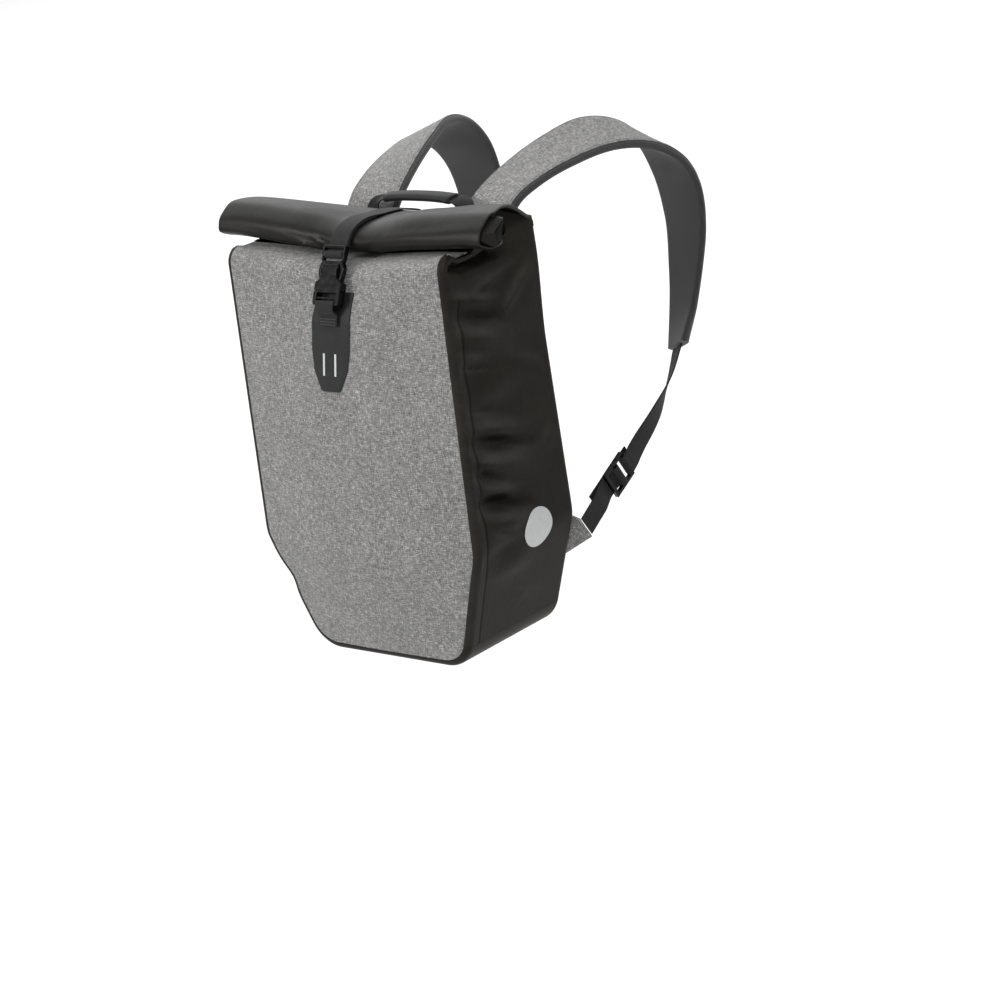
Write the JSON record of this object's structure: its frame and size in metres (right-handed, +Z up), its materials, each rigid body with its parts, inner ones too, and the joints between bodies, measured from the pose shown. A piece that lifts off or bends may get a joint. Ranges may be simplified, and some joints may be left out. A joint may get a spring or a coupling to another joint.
{
  "type": "roll-top bicycle messenger backpack",
  "caption": "Grey heather and black roll-top bicycle backpack with a buckled closure strap, carry handle and worn shoulder straps.",
  "frame": {"origin": "on the back face of the bag, on its middle line, between the roots of the shoulder straps", "axes": "+Z up along the bag, +Y out of the back face towards the wearer, +X to the wearer's right"},
  "size_m": [0.3626, 0.4324, 0.4974],
  "materials": {
    "heather_cloth": "woven grey heather, matte",
    "black_tarpaulin": "coated cloth, soft sheen",
    "black_webbing": "ribbed woven webbing, matte",
    "black_padding": "open spacer mesh, matte",
    "black_plastic": "moulded, semi-gloss",
    "grey_rubber": "rubber-coated cloth, matte",
    "reflective_trim": "plain light-grey reflective film"
  },
  "bodies": {
    "root": {"front_panel": "heather_cloth", "side_gusset_right": "black_tarpaulin", "side_gusset_left": "black_tarpaulin", "base_panel": "black_tarpaulin", "back_panel": "black_tarpaulin", "roll_top": "black_tarpaulin", "closure_strap": "black_webbing", "buckle_plug": "black_plastic", "buckle_socket": "black_plastic", "buckle_loop": "black_webbing", "strap_patch": "grey_rubber", "patch_stripe_right": "reflective_trim", "patch_stripe_left": "reflective_trim", "carry_handle": "black_webbing", "handle_grip": "grey_rubber", "shoulder_pad_right": "black_padding", "shoulder_pad_left": "black_padding", "shoulder_cover_right": "heather_cloth", "shoulder_cover_left": "heather_cloth", "pad_webbing_right": "black_webbing", "pad_webbing_left": "black_webbing", "ladder_lock_right": "black_plastic", "ladder_lock_left": "black_plastic", "strap_webbing_right": "black_webbing", "strap_webbing_left": "black_webbing", "wing_right": "heather_cloth", "wing_left": "heather_cloth", "side_disc": "reflective_trim"}
  },
  "joints": []
}
